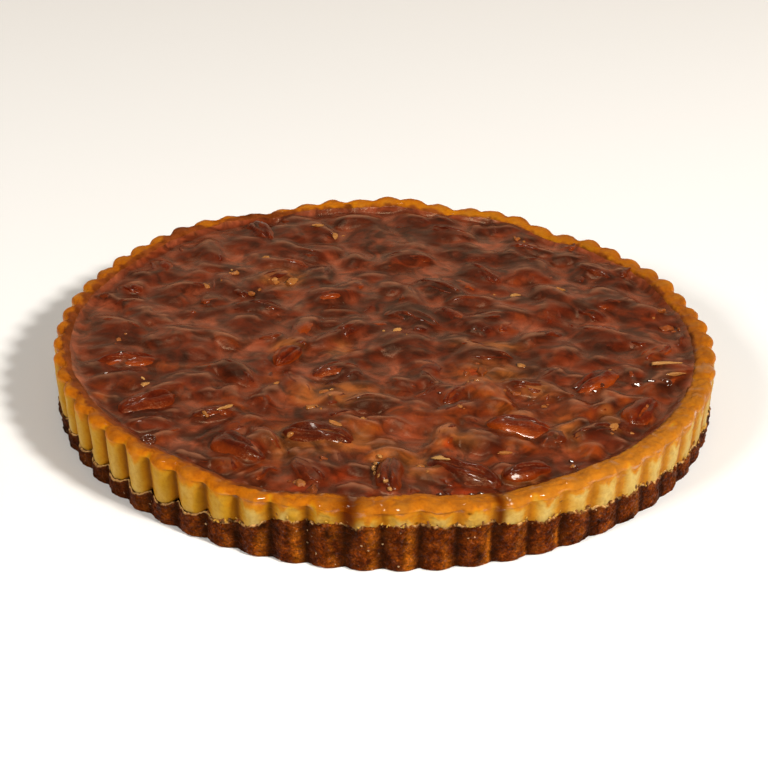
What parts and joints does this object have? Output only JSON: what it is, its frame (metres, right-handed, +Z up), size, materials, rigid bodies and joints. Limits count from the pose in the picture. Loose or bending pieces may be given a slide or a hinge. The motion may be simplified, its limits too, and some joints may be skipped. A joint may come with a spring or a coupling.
{
  "type": "pecan tart",
  "caption": "Round fluted pecan tart: brown crumb base, baked custard with a browned rim, glossy caramel and pecan halves on top.",
  "frame": {"origin": "centre of the flat underside, on the surface that the tart rests on", "axes": "+Z up along the round tart's axis; -Y is the front, where the crumb base stands highest up the side; +X is right seen from the front"},
  "size_m": [0.2799, 0.2799, 0.0295],
  "materials": {
    "crumb_crust": "rough dark brown biscuit crumb, darker in the flutes",
    "custard": "satin pale yellow custard, browned orange and glossy along the rim",
    "caramel": "glossy translucent brown caramel",
    "pecan": "glazed reddish brown pecan skin"
  },
  "bodies": {
    "root": {"crumb_base": "crumb_crust", "custard_layer": "custard", "caramel_topping": "caramel", "pecan_01": "pecan", "pecan_02": "pecan", "pecan_03": "pecan", "pecan_04": "pecan", "pecan_05": "pecan", "pecan_06": "pecan", "pecan_07": "pecan", "pecan_08": "pecan", "pecan_09": "pecan", "pecan_10": "pecan", "pecan_11": "pecan", "pecan_12": "pecan", "pecan_13": "pecan", "pecan_14": "pecan", "pecan_15": "pecan", "pecan_16": "pecan", "pecan_17": "pecan", "pecan_18": "pecan", "pecan_19": "pecan", "pecan_20": "pecan", "pecan_21": "pecan", "pecan_22": "pecan", "pecan_23": "pecan", "pecan_24": "pecan", "pecan_25": "pecan", "pecan_26": "pecan", "pecan_27": "pecan", "pecan_28": "pecan", "pecan_29": "pecan", "pecan_30": "pecan", "pecan_31": "pecan", "pecan_32": "pecan", "pecan_33": "pecan", "pecan_34": "pecan", "pecan_35": "pecan", "pecan_36": "pecan", "pecan_37": "pecan", "pecan_38": "pecan", "pecan_39": "pecan", "pecan_40": "pecan", "pecan_41": "pecan", "pecan_42": "pecan", "pecan_43": "pecan", "pecan_44": "pecan", "pecan_45": "pecan", "pecan_46": "pecan"}
  },
  "joints": []
}
